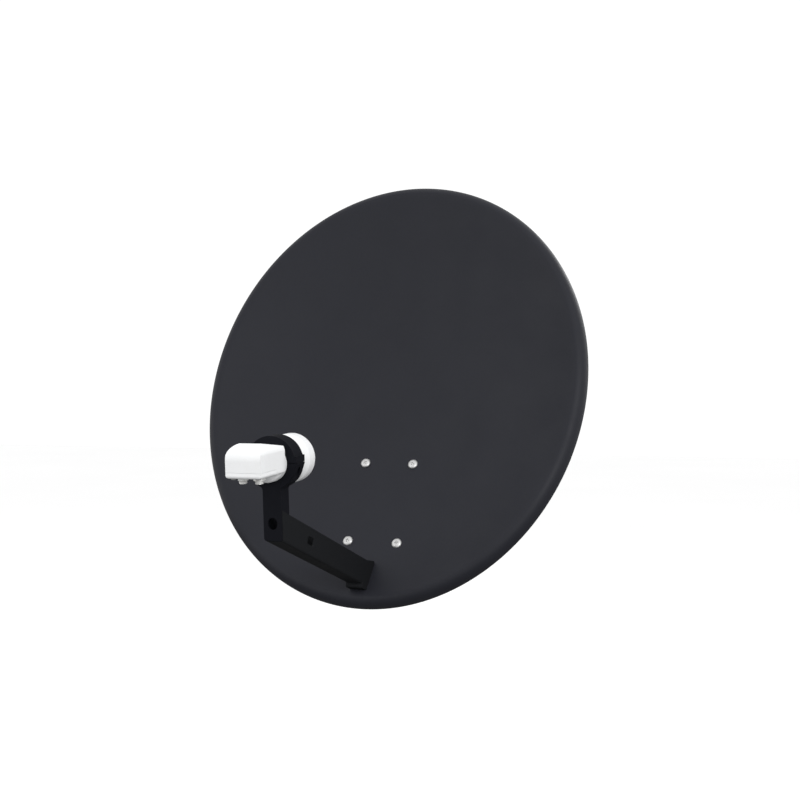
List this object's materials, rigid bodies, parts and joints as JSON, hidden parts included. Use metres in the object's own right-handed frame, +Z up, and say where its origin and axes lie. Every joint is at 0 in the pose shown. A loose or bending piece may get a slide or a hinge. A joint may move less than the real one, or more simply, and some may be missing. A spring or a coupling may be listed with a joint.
{
  "type": "satellite dish",
  "caption": "Offset satellite dish: oval reflector, feed arm with a clamped low-noise block, and a tilting bracket that clamps to a round mast.",
  "frame": {"origin": "on the mast's axis, half-way up the mast clamp", "axes": "+Z up along the mast, -Y the way the dish faces, +X to the right of someone who looks into the dish from the front; X = 0 is the plane of symmetry"},
  "size_m": [0.5796, 0.5593, 0.6086],
  "materials": {
    "reflector_paint": "satin powder coat",
    "bracket_paint": "satin powder coat",
    "arm_paint": "satin powder coat",
    "galvanised": "galvanised, dull",
    "zinc_steel": "bright zinc",
    "black_steel": "black zinc",
    "screw_steel": "bright zinc",
    "spacer_plastic": "matt",
    "scale_label": "printed strip",
    "holder_plastic": "fine moulded texture",
    "liner_plastic": "matt",
    "cast_neck": "cast, painted light grey",
    "white_plastic": "satin",
    "base_plastic": "satin",
    "seal_rubber": "matt",
    "board": "solder mask",
    "shield_tin": "tinned",
    "contact_brass": "bare",
    "nickel": "nickel plate",
    "insulator": "natural"
  },
  "bodies": {
    "mast_mount": {"mast_bracket": "bracket_paint", "mast_saddle": "galvanised", "saddle_cheeks": "galvanised", "mast_clamp_bolts": "zinc_steel", "pivot_bolts": "zinc_steel", "pivot_washers": "zinc_steel", "pivot_nuts": "zinc_steel", "lock_bolts": "zinc_steel", "lock_washers": "zinc_steel", "lock_nuts": "zinc_steel"},
    "mast_jaw": {"mast_jaw": "galvanised", "mast_clamp_washers": "zinc_steel", "mast_clamp_nuts": "zinc_steel"},
    "dish": {"reflector": "reflector_paint", "reflector_screws": "screw_steel", "reflector_spacers": "spacer_plastic", "reflector_washers": "zinc_steel", "reflector_nuts": "zinc_steel", "dish_bracket": "bracket_paint", "elevation_scale": "scale_label", "feed_arm": "arm_paint", "arm_bolt": "zinc_steel", "arm_nut": "zinc_steel", "lnb_holder": "holder_plastic", "clamp_screws": "black_steel"},
    "clamp_cap": {"clamp_cap": "holder_plastic", "clamp_inserts": "contact_brass"},
    "lnb_carrier": {"clamp_liner": "liner_plastic"},
    "lnb": {"lnb_horn": "cast_neck", "lnb_cap": "white_plastic", "cap_seal": "seal_rubber", "lnb_housing": "white_plastic", "lnb_base": "base_plastic", "housing_gasket": "seal_rubber", "circuit_board": "board", "board_shield": "shield_tin", "waveguide_probe": "contact_brass", "coaxial_sockets": "nickel", "socket_insulators": "insulator", "socket_contacts": "contact_brass", "base_screws": "zinc_steel"}
  },
  "joints": [
    {"name": "elevation", "type": "hinge", "parent": "mast_mount", "child": "dish", "pos_m": [0, -0.052, 0.026], "axis": [1, 0, 0], "range_deg": [-13, 32]},
    {"name": "jaw_slide", "type": "slide", "parent": "mast_mount", "child": "mast_jaw", "axis": [0, 1, 0], "range_m": [0, 0.01]},
    {"name": "clamp_release", "type": "slide", "parent": "dish", "child": "clamp_cap", "axis": [0, -0.0698, 0.9976], "range_m": [0, 0.003]},
    {"name": "lnb_focus", "type": "slide", "parent": "dish", "child": "lnb_carrier", "axis": [0, 0.9976, 0.0698], "range_m": [-0.008, 0]},
    {"name": "lnb_skew", "type": "hinge", "parent": "lnb_carrier", "child": "lnb", "pos_m": [0, -0.42679, 0.09676], "axis": [0, 0.9976, 0.0698], "range_deg": [-35, 35]}
  ]
}
